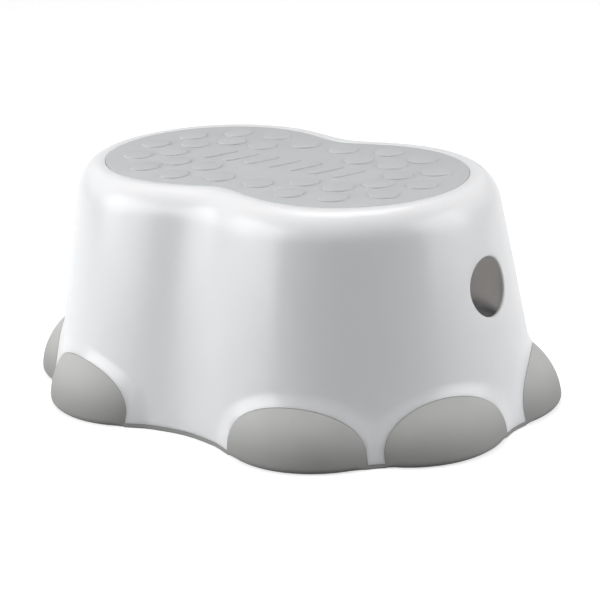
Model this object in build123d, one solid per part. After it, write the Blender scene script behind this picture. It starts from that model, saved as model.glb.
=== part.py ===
"""Moulded step stool for a child: a hollow peanut-shaped shell, an anti-slip tread mat and a soft foot ring.

Frame: millimetres, +Z up, X along the stool's length, Y across it. The origin is on the floor, under
the middle of the deck. -Y is the front, +X is the right. The stool is symmetric about X and Y.

Every outline is a peanut in polar form: radius = half length * (1 + waves of 2, 4 and 6 per turn),
scaled so that the radius at the two ends is the half length. The side wall blends from the tread
mat's outline to the base outline by a share that grows from the top rim to the floor.
"""

from build123d import *
import math
import os

# ---- driving dimensions ----------------------------------------------------------------------
HEIGHT = 155.0  # floor to the tread mat's flat surface
MAT_HALF = 134.0  # half length of the tread mat
MAT_WAVES = (0.338, -0.025, 0.004)
BASE_HALF = 177.5  # half length of the side wall where it meets the floor
BASE_WAVES = (0.183, -0.034, 0.016)
OUTLINE_POINTS = 48

WALL = 3.0  # wall thickness of the moulded shell, measured level
MAT_THICK = 3.0  # depth of the recess that the mat fills
DECK = 3.0  # deck thickness under the recess
MAT_GAP = 0.2  # gap round the mat in its recess

# share of the way from the mat outline to the base outline, as a function of height
# (the side wall is ruled between outlines at a few heights)
SLOPE = 0.0034  # share lost per mm of height
CURVE = 3.5e-6  # extra share lost per mm of height squared
SHOULDER_FOOT = 137.0  # height where the side wall starts to round into the deck
SHOULDER_SHARE = 0.289  # share taken by the rounding
SHOULDER_STEP = 15  # degrees between the loft sections of the rounding
WALL_LEVELS = (35.0, 70.0, 105.0)  # loft sections of the side wall between floor and shoulder

HAND_HOLE_R = 19.0
HAND_HOLE_Z = 95.0

# toes: domes along the base edge, each a spun quarter ellipse centred on the floor
TOES = {  # name: (centre x, centre y, level radius, height, start angle, end angle of its stretch of rim)
    "waist": (75.6, 70.4, 64.4, 56.0, 36.0, 71.0),
    "end": (124.3, 33.5, 60.4, 51.0, 2.8, 32.8),
}
TOE_FOOT = 4.0  # bevel of the toe caps' floor edge
CAP = 2.2  # thickness of the soft toe caps
RIM = 3.0  # thickness of the soft rim under the shell's edge
LIP = 2.0  # thickness of the rim's inner lip
LIP_TOP = 12.0  # height of the inner lip
FIT = 0.03  # play between the soft ring and the shell

PEG_R = 2.5  # barbed pegs that hold the mat
PEG_HOLE_R = 2.6
BARB_R = 4.2
BARB_LENGTH = 4.5
MAT_PEGS = ((112.0, 0.0), (68.0, 42.0), (30.0, 16.0))  # first quadrant, mirrored to the others

DISC_R = 10.0  # raised grip discs on the mat
DISC_RISE = 1.0
DISC_EDGE = 0.6  # bevel on the discs' top edge
DISCS = (  # first quadrant, mirrored to the others
    (112.0, 0.0), (103.0, 29.5), (78.5, 50.5), (48.0, 56.0), (16.0, 47.0),  # outer ring
    (41.0, 30.0), (68.0, 30.0), (86.0, 11.5),  # inner ring
)
BAR_COUNT = 7  # plain raised bars across the middle of the mat
BAR_PITCH = 18.0
BAR_LENGTH = 26.0
BAR_WIDTH = 7.0
BAR_LEAN = 20.0  # degrees from the stool's cross axis

RIB = 2.2  # ribs under the deck
RIB_DEPTH = 18.0
CROSS_RIBS = (0.0, 34.0, 68.0, 102.0)  # distance of the cross ribs from the middle, both sides
LONG_RIBS = (0.0, 28.0, 56.0)  # distance of the lengthwise ribs from the middle, both sides

BIG = 600.0  # larger than the stool, for cutting blocks


# ---- outlines and skins ------------------------------------------------------------------------
def peanut(angle, half, waves):
    """Radius of a peanut outline at an angle in radians."""
    wave = 1 + sum(w * math.cos(2 * (k + 1) * angle) for k, w in enumerate(waves))
    return half * wave / (1 + sum(waves))


def share(z, shoulder_top):
    """How far the wall stands from the mat outline towards the base outline, from 0 to 1."""
    level = 1 - SLOPE * z - CURVE * z * z
    rise = max(0.0, (z - SHOULDER_FOOT) / (shoulder_top - SHOULDER_FOOT))
    return level - SHOULDER_SHARE * (1 - math.sqrt(max(0.0, 1 - rise * rise)))


def ring(z, radius):
    """Closed smooth wire at height z, with radius(angle) in polar form."""
    angles = [2 * math.pi * k / OUTLINE_POINTS for k in range(OUTLINE_POINTS)]
    points = [(radius(a) * math.cos(a), radius(a) * math.sin(a), z) for a in angles]
    return Wire([Edge.make_spline([Vector(*p) for p in points], periodic=True)])


def skin(inset, top):
    """Solid bounded by the side wall moved level by inset, from the floor to a flat top."""
    bend = [math.radians(d) for d in range(0, 90, SHOULDER_STEP)]
    levels = [0.0, *WALL_LEVELS]
    levels += [SHOULDER_FOOT + (top - SHOULDER_FOOT) * math.sin(b) for b in bend]
    levels.append(top)

    def radius_at(z):
        s = share(z, top)
        return lambda a: (
            (1 - s) * peanut(a, MAT_HALF, MAT_WAVES) + s * peanut(a, BASE_HALF, BASE_WAVES) - inset
        )

    return Solid.make_loft([ring(z, radius_at(z)) for z in levels], ruled=True)


def mat_outline(grow, low, high):
    """Solid of the mat's outline moved out by grow, between two heights."""
    face = Face(ring(low, lambda a: peanut(a, MAT_HALF, MAT_WAVES) + grow))
    return extrude(face, amount=high - low, dir=(0, 0, 1))


def slab(low, high):
    """Level block that covers the whole stool between two heights."""
    return Pos(0, 0, (low + high) / 2) * Box(BIG, BIG, high - low)


def wedge(start, end, low, high):
    """Upright wedge from the middle of the stool between two angles in degrees."""
    far = [(BIG * math.cos(math.radians(d)), BIG * math.sin(math.radians(d))) for d in (start, end)]
    face = make_face(Polyline((0, 0), far[0], far[1], close=True))
    return Pos(0, 0, low) * extrude(face, amount=high - low, dir=(0, 0, 1))


def quadrants():
    """Sign of X and Y for each quarter of the stool, with its name."""
    for side, sx in (("right", 1), ("left", -1)):
        for depth, sy in (("rear", 1), ("front", -1)):
            yield sx, sy, f"{depth}_{side}"


def carried(part, sx, sy):
    """The first-quadrant part carried to another quarter."""
    if sx < 0 and sy < 0:
        return Rot(0, 0, 180) * part
    if sx < 0:
        return mirror(part, about=Plane.YZ)
    if sy < 0:
        return mirror(part, about=Plane.XZ)
    return part


def spots(places):
    """Every distinct place that a first-quadrant list gives on the whole stool."""
    return sorted({(sx * x, sy * y) for sx, sy, _ in quadrants() for x, y in places})


# ---- toes ---------------------------------------------------------------------------------------
def dome(toe, inset):
    """Half-dome of a first-quadrant toe, with its surface moved in by inset.

    The outermost dome has a bevelled floor edge.
    """
    x, y, radius, height, _, _ = TOES[toe]
    level, rise = radius - inset, height - inset
    foot = TOE_FOOT if inset == 0 else 0
    start = math.degrees(math.asin(foot / rise))
    lines = [EllipticalCenterArc((0, 0), level, rise, start_angle=start, arc_size=90 - start)]
    lines += [Line((0, rise), (0, 0)), Line((0, 0), (level - foot, 0))]
    if foot:
        lines.append(Line((level - foot, 0), lines[0] @ 0))
    half = revolve(Plane.XZ * make_face(lines), axis=Axis.Z)
    return Pos(x, y, 0) * half


def domes(inset):
    """All eight domes, moved in by inset."""
    return [carried(dome(toe, inset), sx, sy) for toe in TOES for sx, sy, _ in quadrants()]


def peg(radius, length, barb_at):
    """Peg along +Z from the origin, with a barbed head beyond barb_at when that is given."""
    shaft = Pos(0, 0, length / 2) * Cylinder(radius, length)
    if barb_at is None:
        return shaft
    head = Pos(0, 0, barb_at + BARB_LENGTH / 2) * Cone(BARB_R, PEG_R * 0.7, BARB_LENGTH)
    return shaft + head


# ---- the pieces ---------------------------------------------------------------------------------
def body_shell():
    """One-piece moulded shell with toe bulges, deck recess, hand holes, deck ribs and peg holes."""
    cavity_top = HEIGHT - MAT_THICK - DECK
    cavity = skin(WALL, cavity_top)
    shell = skin(0, HEIGHT) + domes(CAP) - slab(-1, RIM)
    shell -= cavity + domes(CAP + WALL)
    shell -= mat_outline(MAT_GAP, HEIGHT - MAT_THICK, HEIGHT + 1)
    shell -= Pos(0, 0, HAND_HOLE_Z) * Rot(0, 90, 0) * Cylinder(HAND_HOLE_R, BIG)
    for x, y in spots(MAT_PEGS):
        shell -= Pos(x, y, cavity_top - 1) * peg(PEG_HOLE_R, DECK + 2, None)
    return shell + deck_ribs(cavity_top)


def deck_ribs(top):
    """Grid of ribs moulded under the deck, with room for the mat's barbs."""
    lines = [Pos(x, 0) * Rectangle(RIB, BIG) for x in {s * d for d in CROSS_RIBS for s in (1, -1)}]
    lines += [Pos(0, y) * Rectangle(BIG, RIB) for y in {s * d for d in LONG_RIBS for s in (1, -1)}]
    grid = Sketch() + lines
    grid &= Face(ring(0, lambda a: peanut(a, MAT_HALF, MAT_WAVES)))
    grid -= [Pos(x, y) * Circle(BARB_R + 1) for x, y in spots(MAT_PEGS)]
    return Pos(0, 0, top - RIB_DEPTH) * extrude(grid, amount=RIB_DEPTH, dir=(0, 0, 1))


def tread_mat():
    """Soft mat with raised discs, plain raised bars and barbed pegs through the deck."""
    bottom = HEIGHT - MAT_THICK
    mat = mat_outline(0, bottom, HEIGHT)
    disc = Pos(0, 0, DISC_RISE / 2) * Cylinder(DISC_R, DISC_RISE)
    disc = chamfer(disc.edges().group_by(Axis.Z)[-1], DISC_EDGE)
    for x, y in spots(DISCS):
        mat += Pos(x, y, HEIGHT) * disc
    for k in range(BAR_COUNT):
        bar = extrude(SlotOverall(BAR_LENGTH, BAR_WIDTH), amount=DISC_RISE)
        bar = chamfer(bar.edges().group_by(Axis.Z)[-1], DISC_EDGE)
        x = (k - (BAR_COUNT - 1) / 2) * BAR_PITCH
        mat += Pos(x, 0, HEIGHT) * Rot(0, 0, 90 - BAR_LEAN) * bar
    for x, y in spots(MAT_PEGS):
        mat += Pos(x, y, bottom) * Rot(180, 0, 0) * peg(PEG_R, DECK + BARB_LENGTH, DECK)
    return mat


def foot_ring():
    """Whole soft rim under the shell's edge with its inner lip, before it is cut into stretches."""
    low = (skin(0, HEIGHT) + domes(0)) & slab(0, RIM)
    tall = (skin(WALL + FIT, HEIGHT) + domes(CAP + WALL + FIT)) & slab(RIM / 2, LIP_TOP)
    return low + tall - (skin(WALL + LIP, HEIGHT) + domes(CAP + WALL + LIP))


def stretch(ring, start, end):
    """Part of the foot ring between two angles in degrees."""
    return ring & wedge(start, end, -1, LIP_TOP + 1)


def toe_cap(toe, ring):
    """First-quadrant toe cap: its dome over the shell's bulge and its stretch of rim."""
    start, end = TOES[toe][4:]
    cap = dome(toe, 0) - dome(toe, CAP - FIT) - skin(-FIT, HEIGHT)
    cap &= wedge(start, end, RIM, HEIGHT)
    return cap + stretch(ring, start, end)


def main():
    os.makedirs("parts", exist_ok=True)
    pieces = {"body_shell": body_shell(), "tread_mat": tread_mat()}
    foot = foot_ring()
    for toe in TOES:
        cap = toe_cap(toe, foot)
        for sx, sy, quarter in quadrants():
            pieces[f"toe_cap_{toe}_{quarter}"] = carried(cap, sx, sy)
    end_start, corner_start = TOES["end"][4:]
    corner_end, waist_start = TOES["waist"][4:]
    corner = stretch(foot, corner_start, corner_end)
    for sx, sy, quarter in quadrants():
        pieces[f"rim_strip_corner_{quarter}"] = carried(corner, sx, sy)
    pieces["rim_strip_waist_rear"] = stretch(foot, waist_start, 180 - waist_start)
    pieces["rim_strip_waist_front"] = mirror(pieces["rim_strip_waist_rear"], about=Plane.XZ)
    pieces["rim_strip_end_right"] = stretch(foot, -end_start, end_start)
    pieces["rim_strip_end_left"] = mirror(pieces["rim_strip_end_right"], about=Plane.YZ)
    for name, piece in pieces.items():
        print(name, "solids", len(piece.solids()), "valid", piece.is_valid, "volume", round(piece.volume))
        export_step(piece, f"parts/{name}.step")


main()
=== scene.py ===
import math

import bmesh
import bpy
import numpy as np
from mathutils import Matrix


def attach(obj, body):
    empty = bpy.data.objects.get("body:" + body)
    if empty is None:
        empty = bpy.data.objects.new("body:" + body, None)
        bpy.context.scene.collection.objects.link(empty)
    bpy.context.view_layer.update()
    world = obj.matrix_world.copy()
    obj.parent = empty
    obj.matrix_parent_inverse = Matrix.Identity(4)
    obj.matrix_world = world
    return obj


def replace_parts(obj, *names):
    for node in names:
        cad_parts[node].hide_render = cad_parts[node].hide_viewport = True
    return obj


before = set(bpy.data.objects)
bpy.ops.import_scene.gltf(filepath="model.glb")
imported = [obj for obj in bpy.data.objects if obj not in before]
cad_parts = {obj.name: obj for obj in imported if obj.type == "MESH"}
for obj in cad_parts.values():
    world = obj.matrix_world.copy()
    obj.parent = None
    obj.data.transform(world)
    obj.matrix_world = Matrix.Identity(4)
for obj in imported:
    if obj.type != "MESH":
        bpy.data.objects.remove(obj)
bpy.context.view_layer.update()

# Looks of a child's moulded step stool: satin white shell, grey tread mat and soft grey foot ring.
#
# Lengths are millimetres until make_object() turns them into metres. The shell, the toe caps and the
# rim strips are radii round the stool's upright axis, at one shared set of angles from +X towards +Y,
# so that their edges follow each other.

MM = 0.001
TURN = 2 * math.pi
QUARTER_TURN = TURN / 4

# ---- the stool's dimensions, as in the CAD ----------------------------------------------------
HEIGHT = 155.0  # top of the deck and of the mat between its discs
MAT_HALF = 134.0  # half length of the mat
MAT_WAVES = (0.338, -0.025, 0.004)  # waves of its outline, 2, 4 and 6 to the turn
BASE_HALF = 177.5  # half length of the plain side wall at the floor
BASE_WAVES = (0.183, -0.034, 0.016)
WALL = 3.0  # wall thickness of the shell
MAT_THICK = 3.0
DECK = 3.0  # thickness of the shell under the mat
RECESS = HEIGHT - MAT_THICK  # floor of the mat's recess
UNDER = RECESS - DECK  # underside of the deck
SLOPE = 0.0034  # lean of the side wall
CURVE = 3.5e-6  # growth of the lean with height
SHOULDER_FOOT = 137.0  # height where the shoulder begins
SHOULDER_SHARE = 0.289  # how far the shoulder rounds in, as a share of the base outline

HOLE_R = 19.0  # hand holes in the two ends
HOLE_Z = 95.0

# Toes: centre on the floor, radius on the floor and height, a hair inside the CAD's
TOES = {"waist": (75.6, 70.4, 64.2, 55.5), "end": (124.3, 33.5, 60.2, 50.5)}
END, WAIST = TOES["end"], TOES["waist"]
CAP = 2.2  # thickness of the soft toe caps
RIM = 3.0  # height of the soft strips between the toes
LIP = 2.0  # thickness of the ring's inner lip
LIP_TOP = 12.0

DISC_R = 10.0  # raised grip discs on the mat
DISC_RISE = 1.0
DISCS = (  # first quadrant, mirrored to the others
    (112.0, 0.0), (103.0, 29.5), (78.5, 50.5), (48.0, 56.0), (16.0, 47.0),  # outer ring
    (41.0, 30.0), (68.0, 30.0), (86.0, 11.5),  # inner ring
)
BAR_COUNT = 7  # plain raised bars across the middle of the mat
BAR_PITCH = 18.0
BAR_LENGTH = 26.0
BAR_WIDTH = 7.0
BAR_LEAN = 20.0  # degrees from the cross axis

RIB = 2.2  # thickness of the ribs under the deck
RIB_DEPTH = 18.0
CROSS_RIBS = (0.0, 34.0, 68.0, 102.0)  # distance from the middle, both sides
LONG_RIBS = (0.0, 28.0, 56.0)
PEGS = ((112.0, 0.0), (68.0, 42.0), (30.0, 16.0))  # first quadrant, mirrored to the others
PEG_R = 2.5
PEG_END_R = PEG_R * 0.7
BARB_R = 4.2
BARB_LENGTH = 4.5

# ---- finer shapes that only the looks have -----------------------------------------------------
HOLE_LIP = 1.1  # rounding of the hand holes' edges
HOLE_PATCH = 25.0  # half width of the patch of wall that is fitted round a hand hole
HOLE_BLEND = (0.12, 0.25, 0.4, 0.55, 0.7, 0.85, 1.0)  # rings from the patch's border to the hole
FLARE_FOOT = 4.0  # how far the shell flares out to meet a toe at the floor
FLARE_TOP = 1.0  # the same at the top of a toe
FLARE_REACH = 11.0  # how deep under the wall a dome still pulls it out
MID_WALL = 60.0  # the side wall's rows are closer together below this height
DECK_RINGS = (0.02, 0.25, 0.5, 0.75, 0.93)  # rings of the deck's flat faces, as shares of its radius
RECESS_GAP = 0.25  # gap round the mat
RECESS_ROUND = 0.6  # rounding of the recess's edge
LOWER_EDGE = 0.4  # rounding of the shell's lower edge
LOWER_EDGE_MID = 0.1  # how far the middle of that rounding stands back from both faces

TOE_FOOT = 4.5  # rounding of the toes' floor edge
RIM_FOOT = 1.2  # rounding of the strips' floor edge
FOOT_BLEND = 3.0  # a toe that stands out this far has the whole of its rounding
SEAM = 0.1  # gap between the shell's edge and the top of a toe
GROOVE = 0.2  # depth of the hairline groove just inside a toe's top edge
RIM_GROOVE = 0.15  # the same on the strips
RING_GAP = 0.02  # gap between the soft ring and the shell
LIP_BEVEL = 0.6
STEP = 0.0004  # width in radians of the columns where the shell's edge steps down beside a toe
LEG_LEVELS = np.linspace(3.0, 20.0, 35)  # heights where a toe may be widest against the leaning wall

EDGE_ROUND = 0.45  # rounding of discs, bars and the mat's edge
SINK = 0.3  # how deep discs, bars, pegs and ribs start inside what carries them
MAT_GAP = 0.02  # gap under the mat
BARB_GAP = 0.05  # gap between the barbs and the deck
BARB_ROOM = 5.2  # half of the gap that a rib leaves for a barb
BARB_NEAR = 6.0  # a rib nearer than this to a peg leaves that gap
RIB_BEVEL = 0.5


# ---- shape formulas ------------------------------------------------------------------------------
def quarters():
    """Signs and name of each quarter of the stool."""
    for side, sx in (("right", 1), ("left", -1)):
        for depth, sy in (("rear", 1), ("front", -1)):
            yield sx, sy, f"{depth}_{side}"


def mirrored(spots):
    """Spots of the first quadrant and their mirror images, each once."""
    return sorted({(sx * x, sy * y) for sx, sy, _ in quarters() for x, y in spots})


ALL_TOES = [(sx * x, sy * y, r, h) for x, y, r, h in TOES.values() for sx, sy, _ in quarters()]


def peanut(a, half, waves):
    """Radius of a two-lobed outline whose half length is half."""
    wave = 1 + sum(w * np.cos(2 * (k + 1) * a) for k, w in enumerate(waves))
    return half * wave / (1 + sum(waves))


def base_share(z, top):
    """How much of the base outline the wall has at a height. The rest is the mat's outline."""
    rise = np.clip((z - SHOULDER_FOOT) / (top - SHOULDER_FOOT), 0, 1)
    return 1 - SLOPE * z - CURVE * z * z - SHOULDER_SHARE * (1 - np.sqrt(1 - rise * rise))


def wall(a, z, top=HEIGHT, inset=0.0):
    """Radius of the plain side wall, without flares and toes."""
    s = base_share(z, top)
    return (1 - s) * peanut(a, MAT_HALF, MAT_WAVES) + s * peanut(a, BASE_HALF, BASE_WAVES) - inset


def dome(a, z, cx, cy, radius, height, inset=0.0):
    """Radius where a ray from the stool's axis leaves a toe's half ellipsoid, or 0 where it misses."""
    level, rise = radius - inset, height - inset
    up = np.clip(z / rise, 0, 1)
    r = level * np.sqrt(1 - up * up)
    b = cx * np.cos(a) + cy * np.sin(a)
    inside = b * b - (cx * cx + cy * cy - r * r)
    return np.where((inside > 0) & (z < rise) & (b > 0), b + np.sqrt(np.maximum(inside, 0)), 0.0)


def over_toes(r, a, z, inset):
    """The larger of a radius and the toes' domes."""
    for toe in ALL_TOES:
        r = np.maximum(r, dome(a, z, *toe, inset=inset))
    return r


def proud(a, z, toe):
    """How far a toe's dome stands out of the plain wall."""
    return dome(a, z, *toe) - wall(a, z)


def brim(z):
    """How far the shell's edge stands out of the plain wall beside a toe."""
    return FLARE_TOP + (FLARE_FOOT - FLARE_TOP) * np.clip(1 - z / WAIST[3], 0, 1)


def flare(a, z):
    """How far the shell is drawn out to meet the toes."""
    keep = 1.0
    for toe in ALL_TOES:
        t = np.clip((proud(a, z, toe) + FLARE_REACH) / (FLARE_REACH + brim(z)), 0, 1)
        keep = keep * (1 - t * t)
    return brim(z) * (1 - keep)


def shell_out(a, z):
    """Visible outer face of the shell."""
    return wall(a, z) + flare(a, z)


def shell_in(a, z):
    """Inner face of the shell, hollow behind the toes."""
    return over_toes(wall(a, z, UNDER, WALL), a, z, CAP + WALL)


def bulge(a, z):
    """Outer face of the shell under the soft ring."""
    return over_toes(wall(a, z), a, z, CAP)


def bisect(f, low, high):
    """Root of a falling or rising function of one number."""
    start = f(low) > 0
    for _ in range(50):
        mid = (low + high) / 2
        if (f(mid) > 0) == start:
            low = mid
        else:
            high = mid
    return (low + high) / 2


def stand(a, toe):
    """How far a toe stands out of the shell's edge at one angle, at most, and the height where it does."""
    over = proud(a, LEG_LEVELS, toe) - brim(LEG_LEVELS)
    return float(over.max()), float(LEG_LEVELS[over.argmax()])


def arch(a, toe):
    """Height of a toe's top edge at one angle, or RIM beside the toe."""
    most, level = stand(a, toe)
    if most <= 0:
        return RIM
    return bisect(lambda z: float(proud(a, z, toe) - brim(z)), level, toe[3])


def fold(a):
    """Angle in the first quadrant that mirrors onto a."""
    a = abs((a + math.pi) % TURN - math.pi)
    return min(a, math.pi - a)


def edge_height(a):
    """Height of the shell's visible lower edge at one angle."""
    q = fold(float(a))
    return max(arch(q, END), arch(q, WAIST))


# ---- the columns of angles -----------------------------------------------------------------------
def toe_span(toe):
    """First and last angle of a first-quadrant toe, just inside its boundary."""
    def shows(a):
        return stand(a, toe)[0] - 0.01

    peak = max(np.linspace(0, QUARTER_TURN, 200), key=shows)
    return bisect(shows, peak, 0.0), bisect(shows, peak, QUARTER_TURN)


def spread(low, high, count, eased):
    """count angles from low up to high, without high, closer together at both ends when eased."""
    t = np.arange(count) / count
    if eased:
        t = (1 - np.cos(math.pi * t)) / 2
    return low + (high - low) * t


END_LOW, END_HIGH = toe_span(END)
WAIST_LOW, WAIST_HIGH = toe_span(WAIST)
QUADRANT = np.concatenate([
    spread(0.0, END_LOW - STEP, 4, False),
    spread(END_LOW - STEP, END_LOW, 1, False),
    spread(END_LOW, END_HIGH, 56, True),
    spread(END_HIGH, END_HIGH + STEP, 1, False),
    spread(END_HIGH + STEP, WAIST_LOW - STEP, 6, False),
    spread(WAIST_LOW - STEP, WAIST_LOW, 1, False),
    spread(WAIST_LOW, WAIST_HIGH, 56, True),
    spread(WAIST_HIGH, WAIST_HIGH + STEP, 1, False),
    spread(WAIST_HIGH + STEP, QUARTER_TURN, 26, False),
])
REAR_HALF = np.concatenate([QUADRANT, [QUARTER_TURN], math.pi - QUADRANT[:0:-1]])
ANGLES = np.concatenate([REAR_HALF, REAR_HALF + math.pi])
COLUMNS = len(ANGLES)


# ---- mesh helpers ----------------------------------------------------------------------------------
def polar(a, r, z):
    """Points at angles a, radii r and heights z."""
    return np.stack([r * np.cos(a), r * np.sin(a), np.broadcast_to(z, np.shape(r * a))], axis=-1)


def circle(x, y, r, count):
    """Points of a level circle."""
    return [(x + r * math.cos(f), y + r * math.sin(f)) for f in np.linspace(0, TURN, count, endpoint=False)]


def tube(rows, columns):
    """Quads between rows of a grid whose columns close into a ring."""
    faces = []
    for j in range(rows - 1):
        for i in range(columns):
            k = (i + 1) % columns
            faces.append((j * columns + i, j * columns + k, (j + 1) * columns + k, (j + 1) * columns + i))
    return faces


def closed_tube(rows, columns):
    """The same with a flat face over the first and the last row."""
    last = (rows - 1) * columns
    return [*tube(rows, columns), tuple(range(columns)), tuple(range(last, last + columns))]


def make_object(name, points, faces, material, crease=40):
    """Visible piece from points in millimetres, smooth except at edges sharper than crease degrees."""
    mesh = bpy.data.meshes.new(name)
    mesh.from_pydata((np.asarray(points) * MM).tolist(), [], faces)
    bm = bmesh.new()
    bm.from_mesh(mesh)
    bmesh.ops.remove_doubles(bm, verts=bm.verts, dist=2e-6)
    bmesh.ops.dissolve_degenerate(bm, edges=bm.edges, dist=2e-6)
    loose = [v for v in bm.verts if not v.link_faces]
    bmesh.ops.delete(bm, geom=loose, context="VERTS")
    bmesh.ops.recalc_face_normals(bm, faces=bm.faces)
    bm.to_mesh(mesh)
    bm.free()
    mesh.shade_smooth()
    mesh.set_sharp_from_angle(angle=math.radians(crease))
    obj = bpy.data.objects.new(name, mesh)
    bpy.context.scene.collection.objects.link(obj)
    obj.data.materials.append(material)
    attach(obj, "root")
    return obj


# ---- materials -------------------------------------------------------------------------------------
def moulded(name, color, roughness, speck, speck_scale, bump, bump_scale, rough_swing, specular=0.5):
    """Moulded surface: faint mottling of colour and roughness, and a fine moulded grain."""
    m = bpy.data.materials.new(name)
    m.use_nodes = True
    nodes, links = m.node_tree.nodes, m.node_tree.links
    nodes.clear()
    out = nodes.new("ShaderNodeOutputMaterial")
    shader = nodes.new("ShaderNodeBsdfPrincipled")
    links.new(shader.outputs["BSDF"], out.inputs["Surface"])
    shader.inputs["IOR"].default_value = 1.49
    shader.inputs["Specular IOR Level"].default_value = specular
    place = nodes.new("ShaderNodeTexCoord")
    place.name = "place"
    mottle = nodes.new("ShaderNodeTexNoise")
    mottle.inputs["Scale"].default_value = speck_scale
    mottle.inputs["Detail"].default_value = 4
    links.new(place.outputs["Object"], mottle.inputs["Vector"])
    ramp = nodes.new("ShaderNodeValToRGB")
    ramp.name = "colour"
    ramp.color_ramp.elements[0].position = 0.3
    ramp.color_ramp.elements[1].position = 0.7
    ramp.color_ramp.elements[0].color = (*[c * (1 - speck) for c in color], 1)
    ramp.color_ramp.elements[1].color = (*[c * (1 + speck) for c in color], 1)
    links.new(mottle.outputs["Fac"], ramp.inputs["Fac"])
    links.new(ramp.outputs["Color"], shader.inputs["Base Color"])
    swing = nodes.new("ShaderNodeMapRange")
    swing.inputs["To Min"].default_value = roughness - rough_swing
    swing.inputs["To Max"].default_value = roughness + rough_swing
    links.new(mottle.outputs["Fac"], swing.inputs["Value"])
    links.new(swing.outputs["Result"], shader.inputs["Roughness"])
    grain = nodes.new("ShaderNodeTexNoise")
    grain.inputs["Scale"].default_value = bump_scale
    grain.inputs["Detail"].default_value = 3
    links.new(place.outputs["Object"], grain.inputs["Vector"])
    relief = nodes.new("ShaderNodeBump")
    relief.inputs["Strength"].default_value = bump
    relief.inputs["Distance"].default_value = 0.0002
    links.new(grain.outputs["Fac"], relief.inputs["Height"])
    links.new(relief.outputs["Normal"], shader.inputs["Normal"])
    return m


def white_shell():
    """Satin white plastic with a thin gloss that lets a little light through."""
    m = moulded("white_shell", (0.85, 0.84, 0.845), 0.29, 0.006, 14, 0.04, 900, 0.02)
    sockets = m.node_tree.nodes["Principled BSDF"].inputs
    sockets["Coat Weight"].default_value = 0.06
    sockets["Coat Roughness"].default_value = 0.1
    sockets["Subsurface Weight"].default_value = 0.5
    sockets["Subsurface Scale"].default_value = 0.016
    sockets["Subsurface Radius"].default_value = (1.0, 0.88, 0.8)
    return m


def toe_rubber(fade_top=34.0, floor_share=0.66):
    """Matt grey rubber that darkens from the height fade_top to floor_share of its colour at the floor:
    painted shade, standing in for the little light that reaches the toes' lower part.
    """
    m = moulded("toe_rubber", (0.455, 0.46, 0.45), 0.65, 0.02, 60, 0.15, 2600, 0.05, specular=0.15)
    nodes, links = m.node_tree.nodes, m.node_tree.links
    axes = nodes.new("ShaderNodeSeparateXYZ")
    links.new(nodes["place"].outputs["Object"], axes.inputs["Vector"])
    # painted shade: the toes' colour is darkened by height towards the floor, in place of the shade on
    # their lower part
    painted_shade = nodes.new("ShaderNodeMapRange")
    painted_shade.interpolation_type = "SMOOTHSTEP"
    painted_shade.inputs["From Min"].default_value = 0.0
    painted_shade.inputs["From Max"].default_value = fade_top * MM
    painted_shade.inputs["To Min"].default_value = floor_share
    painted_shade.inputs["To Max"].default_value = 1.0
    links.new(axes.outputs["Z"], painted_shade.inputs["Value"])
    tint = nodes.new("ShaderNodeVectorMath")
    tint.operation = "SCALE"
    links.new(nodes["colour"].outputs["Color"], tint.inputs[0])
    links.new(painted_shade.outputs["Result"], tint.inputs["Scale"])
    links.new(tint.outputs["Vector"], nodes["Principled BSDF"].inputs["Base Color"])
    return m


WHITE = white_shell()
GREY_MAT = moulded("mat_rubber", (0.50, 0.51, 0.52), 0.52, 0.02, 60, 0.25, 2600, 0.05)
GREY_TOE = toe_rubber()


# ---- the shell ---------------------------------------------------------------------------------------
def shoulder_heights(top, degrees):
    """Heights on the shoulder's quarter round below top."""
    return [SHOULDER_FOOT + (top - SHOULDER_FOOT) * math.sin(math.radians(d)) for d in degrees]


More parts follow.
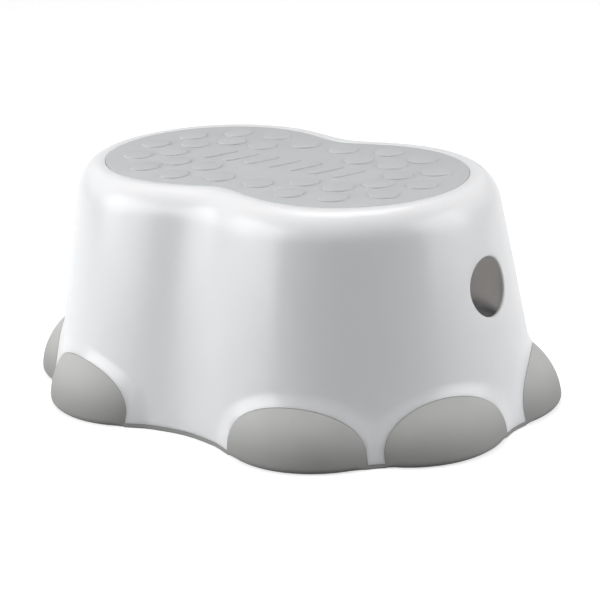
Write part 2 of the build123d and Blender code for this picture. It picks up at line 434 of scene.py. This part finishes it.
def shell():
    """Hollow shell as one closed grid: under the deck, down the inside, up the outside, over the deck."""
    a = ANGLES
    edge = np.array([edge_height(q) for q in a])
    rows = []

    def add(r, z):
        rows.append(polar(a, r * np.ones(COLUMNS), z * np.ones(COLUMNS)))

    # under the deck, from the middle out, then down the inside of the wall
    deck_edge = shell_in(a, UNDER)
    for t in DECK_RINGS:
        add(deck_edge * t, UNDER)
    for z in shoulder_heights(UNDER, range(90, 0, -10)):
        add(shell_in(a, z), z)
    inner_top = len(rows)
    for z in np.linspace(SHOULDER_FOOT, MID_WALL, 28):
        add(shell_in(a, z), z)
    inner_end = len(rows)
    for z in np.linspace(MID_WALL, RIM, 24)[1:]:
        add(shell_in(a, z), z)

    # bottom edge, bulge that the ring hides, then out to the shell's visible edge
    for t in np.linspace(0, 1, 16):
        z = RIM + (edge - RIM) * t
        add(bulge(a, z), z)
    visible = shell_out(a, edge)
    add(visible - LOWER_EDGE, edge)
    add(visible - LOWER_EDGE_MID, edge + LOWER_EDGE_MID)

    # flared wall up to the shoulder, with rows closer together near the toes
    foot = edge + LOWER_EDGE
    for t in np.linspace(0, 1, 34)[1:]:
        z = foot + (MID_WALL - foot) * t**1.4
        add(shell_out(a, z), z)
    outer_start = len(rows) - 1
    for z in np.linspace(MID_WALL, SHOULDER_FOOT, 28)[1:]:
        add(shell_out(a, z), z)
    outer_end = len(rows)
    for z in shoulder_heights(HEIGHT, range(5, 95, 5)):
        add(wall(a, z), z)

    # flat border of the deck, rounded into the recess of the mat
    recess = peanut(a, MAT_HALF, MAT_WAVES) + RECESS_GAP
    border = wall(a, HEIGHT)
    for t in (0.33, 0.66):
        add(border + (recess + RECESS_ROUND - border) * t, HEIGHT)
    for d in range(0, 91, 30):
        c = math.radians(d)
        add(recess + RECESS_ROUND * (1 - math.sin(c)), HEIGHT - RECESS_ROUND * (1 - math.cos(c)))
    add(recess, RECESS)
    for t in DECK_RINGS[::-1]:
        add(recess * t, RECESS)

    points = list(np.concatenate(rows))
    faces = closed_tube(len(rows), COLUMNS)
    faces = hand_holes(points, faces, range(inner_top, inner_end), range(outer_start, outer_end))
    return make_object("body_shell_skin", points, faces, WHITE)


def patch_rows(points, rows):
    """The two of these rows of the grid that lie nearest to a hand hole patch's lower and upper side."""
    def nearest(z):
        return min(rows, key=lambda j: abs(points[j * COLUMNS][2] - z))

    return sorted(nearest(HOLE_Z + s * HOLE_PATCH) for s in (1, -1))


def patch_border(columns, first, last):
    """Border of a patch of the grid, in order, from its first column and the row first."""
    way = 1 if last > first else -1
    border = [first * COLUMNS + i for i in columns[:-1]]
    border += [j * COLUMNS + columns[-1] for j in range(first, last, way)]
    border += [last * COLUMNS + i for i in columns[:0:-1]]
    border += [j * COLUMNS + columns[0] for j in range(last, first, -way)]
    return border


def hand_holes(points, faces, inner_rows, outer_rows):
    """Opens a hand hole through both skins at each end. Adds to points and returns the new faces."""
    inner = patch_rows(points, inner_rows)
    outer = patch_rows(points, outer_rows)
    width = HOLE_PATCH / wall(0.0, HOLE_Z)
    reach = sum(1 for a in ANGLES[: COLUMNS // 4] if a <= width)
    around = range(-reach, reach + 1)
    ends = {1: [i % COLUMNS for i in around], -1: [COLUMNS // 2 + i for i in around]}
    removed = {
        j * COLUMNS + i
        for columns in ends.values()
        for low, high in (inner, outer)
        for j in range(low, high)
        for i in columns[:-1]
    }
    faces = [f for f in faces if len(f) > 4 or f[0] not in removed]
    for side, columns in ends.items():
        # the inside's rows run down and the outside's run up, so one border is walked from its last row
        faces += hand_hole(points, side, patch_border(columns, *inner[::-1]), patch_border(columns, *outer))
    return faces


def hand_hole(points, side, inner_border, outer_border):
    """Faces from one skin's patch border through a round hole with rounded edges to the other's."""
    angles = [math.atan2(points[k][2] - HOLE_Z, points[k][1]) for k in outer_border]
    mouth = HOLE_R + HOLE_LIP
    rings = []

    def on_skin(y, z, skin):
        """x of a skin at the end of the stool, found by repeated approach."""
        a = 0.0
        for _ in range(12):
            a = math.asin(y / float(skin(a, z)))
        return side * float(skin(a, z)) * math.cos(a)

    def on_circle(r, f):
        return r * math.cos(f), HOLE_Z + r * math.sin(f)

    def ring(places):
        start = len(points)
        points.extend(np.array(p) for p in places)
        rings.append(list(range(start, start + len(places))))

    def blend(border, skin, shares):
        """Rings on a skin between the square patch border and the round mouth."""
        for t in shares:
            places = []
            for k, f in zip(border, angles):
                y0, z0 = points[k][1], points[k][2]
                y1, z1 = on_circle(mouth, f)
                y, z = y0 + (y1 - y0) * t, z0 + (z1 - z0) * t
                places.append((on_skin(y, z, skin), y, z))
            ring(places)

    def rounding(skin, inward, degrees):
        """Rings of the mouth's rounded edge. inward is 1 on the outer skin and -1 on the inner one."""
        for d in degrees:
            c = math.radians(d)
            r = HOLE_R + HOLE_LIP * (1 - math.sin(c))
            depth = inward * side * HOLE_LIP * (1 - math.cos(c))
            ring([(on_skin(*on_circle(mouth, f), skin) - depth, *on_circle(r, f)) for f in angles])

    rings.append(outer_border)
    blend(outer_border, shell_out, HOLE_BLEND)
    rounding(shell_out, 1, range(15, 91, 15))
    rounding(shell_in, -1, range(90, 29, -30))
    blend(inner_border, shell_in, HOLE_BLEND[::-1])
    rings.append(inner_border)
    faces = []
    count = len(angles)
    for one, two in zip(rings, rings[1:]):
        faces += [(one[k], one[(k + 1) % count], two[(k + 1) % count], two[k]) for k in range(count)]
    return faces


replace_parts(shell(), "body_shell")


# ---- the foot ring: toe caps and rim strips ------------------------------------------------------------
def foot_section(a, top):
    """Closed section of the soft ring at one angle, as (radius, height) pairs."""
    beyond = max(0.0, max(float(proud(a, RIM, t)) for t in ALL_TOES) - float(brim(RIM)))
    foot = RIM_FOOT + (TOE_FOOT - RIM_FOOT) * min(1.0, beyond / FOOT_BLEND) ** 0.7
    upper = max(top, RIM)

    def out(z):
        """Outer face, rounded in at the floor."""
        fall = max(0.0, 1 - z / foot)
        r = max(float(shell_out(a, z)), *[float(dome(a, z, *t)) for t in ALL_TOES])
        return r - foot * (1 - math.sqrt(max(0.0, 1 - fall * fall)))

    def skin(z):
        return float(shell_in(a, z)) - RING_GAP

    # groove inside the top edge, then the outer face down to the floor
    groove = min(GROOVE, (upper - RIM) / 3 + RIM_GROOVE)
    outer = []
    for d in (0, 30, 60, 90):
        c = math.radians(d)
        z = upper - groove * (1 - math.sin(c))
        outer.append((out(z) - groove * (1 - math.sin(c)), z))
    for t in np.linspace(0, 1, 30)[1:]:
        z = (upper - groove) * (1 - t) ** 1.25
        outer.append((out(z), z))

    # inner lip, then up between the cap and the shell
    inner = [
        (skin(0) - LIP + LIP_BEVEL, 0.0),
        (skin(0) - LIP, LIP_BEVEL),
        (skin(LIP_TOP) - LIP, LIP_TOP - LIP_BEVEL),
        (skin(LIP_TOP) - LIP + LIP_BEVEL, LIP_TOP),
        (skin(LIP_TOP), LIP_TOP),
        (skin(RIM), RIM),
    ]
    capped = upper > RIM + 0.01
    for t in np.linspace(0, 1, 12):
        z = RIM + (upper - RIM) * t
        inner.append((float(bulge(a, z)) + RING_GAP if capped else outer[0][0] - 0.01, z))
    return outer + inner


def foot_piece(node, columns):
    """A stretch of the soft ring over neighbouring columns, closed at both ends."""
    sections = [[polar(a, np.array(r), z) for r, z in foot_section(a, top)] for a, top in columns]
    points = [p for section in sections for p in section]
    faces = closed_tube(len(sections), len(sections[0]))
    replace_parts(make_object(f"{node}_skin", points, faces, GREY_TOE, crease=50), node)


def quadrant_columns(low, high):
    """Angles of the first quadrant's columns from low to high, both included."""
    return [low, *[float(a) for a in QUADRANT if low < a < high], high]


def foot_ring():
    """Toe caps, then the strips between them, which cross the X and Y axes at the ends and waist."""
    for kind, low, high, slot in (
        ("toe_cap_end", END_LOW, END_HIGH, "toes"),
        ("toe_cap_waist", WAIST_LOW, WAIST_HIGH, "toes"),
        ("rim_strip_corner", END_HIGH, WAIST_LOW, "rim"),
    ):
        for sx, sy, quarter in quarters():
            columns = []
            for q in quadrant_columns(low, high):
                turned = math.atan2(sy * math.sin(q), sx * math.cos(q))
                columns.append((turned, max(edge_height(q) - SEAM, RIM)))
            foot_piece(f"{kind}_{quarter}", columns)
    waist = quadrant_columns(WAIST_HIGH, QUARTER_TURN)
    waist += [math.pi - q for q in waist[-2::-1]]
    end = quadrant_columns(0.0, END_LOW)
    end = [-q for q in end[:0:-1]] + end
    for place, span in (
        ("waist_rear", waist),
        ("waist_front", [-q for q in waist]),
        ("end_right", end),
        ("end_left", [math.pi - q for q in end]),
    ):
        foot_piece(f"rim_strip_{place}", [(q, RIM) for q in span])


foot_ring()


# ---- the tread mat -------------------------------------------------------------------------------------
def stack(outlines, points, faces):
    """Adds a closed solid through stacked outlines of equal length, with flat ends."""
    start = len(points)
    for outline in outlines:
        points.extend(outline)
    faces.extend(tuple(start + i for i in f) for f in closed_tube(len(outlines), len(outlines[0])))


def rounded(outline, low, high):
    """Stacked copies of outline(inset), with the top edge rounded."""
    levels = [(0.0, low), (0.0, high - EDGE_ROUND)]
    for d in (22.5, 45, 67.5, 90):
        c = math.radians(d)
        levels.append((EDGE_ROUND * (1 - math.cos(c)), high - EDGE_ROUND + EDGE_ROUND * math.sin(c)))
    return [[(x, y, z) for x, y in outline(inset)] for inset, z in levels]


def bar_outline(middle, inset):
    """Outline of a raised bar with round ends."""
    r = BAR_WIDTH / 2 - inset
    reach = (BAR_LENGTH - BAR_WIDTH) / 2
    turn = math.radians(90 - BAR_LEAN)
    steps = 14
    spots = []
    for side in (1, -1):
        for k in range(steps + 1):
            f = math.pi * (k / steps - 0.5) + (0 if side > 0 else math.pi)
            u, v = side * reach + r * math.cos(f), r * math.sin(f)
            x = middle + u * math.cos(turn) - v * math.sin(turn)
            y = u * math.sin(turn) + v * math.cos(turn)
            spots.append((x, y))
    return spots


def mat():
    """Mat with raised discs, plain raised bars and barbed pegs through the deck."""
    points, faces = [], []
    around = np.linspace(0, TURN, 360, endpoint=False)

    def mat_outline(inset):
        r = peanut(around, MAT_HALF, MAT_WAVES) - inset
        return list(zip((r * np.cos(around)).tolist(), (r * np.sin(around)).tolist()))

    stack(rounded(mat_outline, RECESS + MAT_GAP, HEIGHT), points, faces)
    for x, y in mirrored(DISCS):
        disc = rounded(lambda inset: circle(x, y, DISC_R - inset, 56), HEIGHT - SINK, HEIGHT + DISC_RISE)
        stack(disc, points, faces)
    for k in range(BAR_COUNT):
        middle = (k - (BAR_COUNT - 1) / 2) * BAR_PITCH
        bar = rounded(lambda inset: bar_outline(middle, inset), HEIGHT - SINK, HEIGHT + DISC_RISE)
        stack(bar, points, faces)
    profile = (  # radius and height, from inside the mat down to the peg's tip
        (PEG_R, RECESS + SINK),
        (PEG_R, UNDER - BARB_GAP),
        (BARB_R, UNDER - BARB_GAP),
        (BARB_R, UNDER - 0.5),
        (PEG_END_R + 0.3, UNDER - BARB_LENGTH + 0.2),
        (PEG_END_R, UNDER - BARB_LENGTH),
    )
    for x, y in mirrored(PEGS):
        stack([[(u, v, z) for u, v in circle(x, y, r, 32)] for r, z in profile], points, faces)
    return make_object("tread_mat_skin", points, faces, GREY_MAT, crease=60)


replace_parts(mat(), "tread_mat")


# ---- ribs under the deck -------------------------------------------------------------------------------
def rib_spans(reach, barbs):
    """Stretches of a rib from -reach to reach, with room left for the mat's barbs."""
    ends = [-reach, *[c + s * BARB_ROOM for c in sorted(barbs) for s in (-1, 1)], reach]
    return zip(ends[::2], ends[1::2])


def both_sides(distances):
    """Places at these distances on both sides of the middle, each once."""
    return sorted({s * d for d in distances for s in (1, -1)})


def ribs():
    """Grid of ribs under the deck, which ends inside the side wall."""
    points, faces = [], []
    top = UNDER + SINK
    foot = top - RIB_DEPTH
    half = RIB / 2
    pegs = mirrored(PEGS)

    def bar(x0, x1, y0, y1):
        e = RIB_BEVEL
        stack([
            [(p, r, z), (q, r, z), (q, s, z), (p, s, z)]
            for p, q, r, s, z in (
                (x0, x1, y0, y1, top),
                (x0, x1, y0, y1, foot + e),
                (x0 + e, x1 - e, y0 + e, y1 - e, foot),
            )
        ], points, faces)

    def inside_wall(a):
        return float(shell_in(a, UNDER)) + 2

    for x in both_sides(CROSS_RIBS):
        start = math.radians(89.9) if x else 0.0
        a = bisect(lambda t: inside_wall(t) * math.cos(t) - abs(x), start, 0.0)
        reach = inside_wall(a) * math.sin(a) if x else inside_wall(QUARTER_TURN)
        for low, high in rib_spans(reach, {py for px, py in pegs if abs(px - x) < BARB_NEAR}):
            bar(x - half, x + half, low, high)
    for y in both_sides(LONG_RIBS):
        a = bisect(lambda t: inside_wall(t) * math.sin(t) - abs(y), 0.0, math.radians(50)) if y else 0.0
        reach = inside_wall(a) * math.cos(a)
        for low, high in rib_spans(reach, {px for px, py in pegs if abs(py - y) < BARB_NEAR}):
            bar(low, high, y - half, y + half)
    return make_object("deck_ribs", points, faces, WHITE, crease=30)


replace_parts(ribs(), "body_shell")


# ---- floor, backdrop, light and camera -------------------------------------------------------------------
def plain_white(name, diffuse, glow):
    """Even white of the studio, which glows a little so that it comes out white."""
    m = bpy.data.materials.new(name)
    m.use_nodes = True
    sockets = m.node_tree.nodes["Principled BSDF"].inputs
    sockets["Base Color"].default_value = (diffuse, diffuse, diffuse, 1)
    sockets["Roughness"].default_value = 0.9
    sockets["Emission Color"].default_value = (1, 1, 1, 1)
    sockets["Emission Strength"].default_value = glow
    return m


def surroundings():
    bpy.ops.mesh.primitive_plane_add(size=30)
    floor = bpy.context.object
    floor.name = "floor"
    floor.data.materials.append(plain_white("floor", 0.55, 0.6))
    floor.visible_diffuse = False  # the pale floor throws no light back up at the toes

    bpy.ops.mesh.primitive_cylinder_add(vertices=64, radius=14, depth=20)
    backdrop = bpy.context.object
    backdrop.name = "backdrop"
    backdrop.data.materials.append(plain_white("backdrop", 0.0, 1.0))
    backdrop.visible_diffuse = False  # only the camera sees it
    backdrop.visible_glossy = False
    backdrop.visible_shadow = False


def sky(stops):
    """Dim surroundings whose brightness changes only with height: (sine of the elevation, brightness)."""
    world = bpy.data.worlds.new("studio")
    bpy.context.scene.world = world
    world.use_nodes = True
    nodes, links = world.node_tree.nodes, world.node_tree.links
    place = nodes.new("ShaderNodeTexCoord")
    axes = nodes.new("ShaderNodeSeparateXYZ")
    links.new(place.outputs["Generated"], axes.inputs["Vector"])
    span = nodes.new("ShaderNodeMapRange")
    span.inputs["From Min"].default_value = -1
    links.new(axes.outputs["Z"], span.inputs["Value"])
    ramp = nodes.new("ShaderNodeValToRGB")
    while len(ramp.color_ramp.elements) < len(stops):
        ramp.color_ramp.elements.new(0.5)
    for stop, (height, bright) in zip(ramp.color_ramp.elements, stops):
        stop.position = (height + 1) / 2
        stop.color = (bright, bright, bright, 1)
    links.new(span.outputs["Result"], ramp.inputs["Fac"])
    links.new(ramp.outputs["Color"], nodes["Background"].inputs["Color"])


def placed(obj, axes, origin):
    """Links an object to the scene with its axes along three unit vectors and its origin at a point."""
    bpy.context.scene.collection.objects.link(obj)
    place = Matrix.Identity(4)
    for k, column in enumerate((*axes, origin)):
        for row in range(3):
            place[row][k] = column[row]
    obj.matrix_world = place


def soft_box(name, azimuth, elevation, distance, width, height, power):
    """Area light that looks at the stool's middle. Azimuth is measured from +X towards +Y."""
    a, e = math.radians(azimuth), math.radians(elevation)
    back = np.array([math.cos(a) * math.cos(e), math.sin(a) * math.cos(e), math.sin(e)])
    side = np.cross([0, 0, 1], back)
    side /= np.linalg.norm(side)
    light = bpy.data.lights.new(name, "AREA")
    light.shape = "RECTANGLE"
    light.size = width
    light.size_y = height
    light.energy = power
    middle = np.array([0, 0, 0.07])
    placed(bpy.data.objects.new(name, light), (side, np.cross(back, side), back), back * distance + middle)


def camera(azimuth, elevation, roll, focal, at):
    """Camera at a point. Azimuth is measured from -Y towards +X, and focal in pixels of the picture."""
    picture_width = 600
    a, e, r = (math.radians(v) for v in (azimuth, elevation, roll))
    back = np.array([math.sin(a) * math.cos(e), -math.cos(a) * math.cos(e), math.sin(e)])
    right = np.array([math.cos(a), math.sin(a), 0.0])
    up = np.cross(back, right)
    right, up = math.cos(r) * right + math.sin(r) * up, -math.sin(r) * right + math.cos(r) * up
    cam = bpy.data.cameras.new("camera")
    cam.sensor_width = 36
    cam.lens = focal * cam.sensor_width / picture_width
    obj = bpy.data.objects.new("camera", cam)
    placed(obj, (right, up, back), at)
    bpy.context.scene.camera = obj


surroundings()
sky(((-1.0, 0.03), (-0.02, 0.05), (0.05, 0.16), (1.0, 0.32)))
soft_box("left_box", 230, 20, 1.7, 1.4, 1.2, power=28)
soft_box("right_box", 18, 20, 1.7, 1.3, 1.2, power=20.5)
soft_box("top_box", 130, 77, 1.8, 1.1, 0.9, power=13)
soft_box("back_box", 128, 14, 2.0, 2.4, 1.0, power=2)
bpy.context.scene.view_settings.view_transform = "Standard"
camera(azimuth=38.0645, elevation=18.962, roll=-2.7453, focal=1991.6, at=(0.8004, -1.0104, 0.5010))
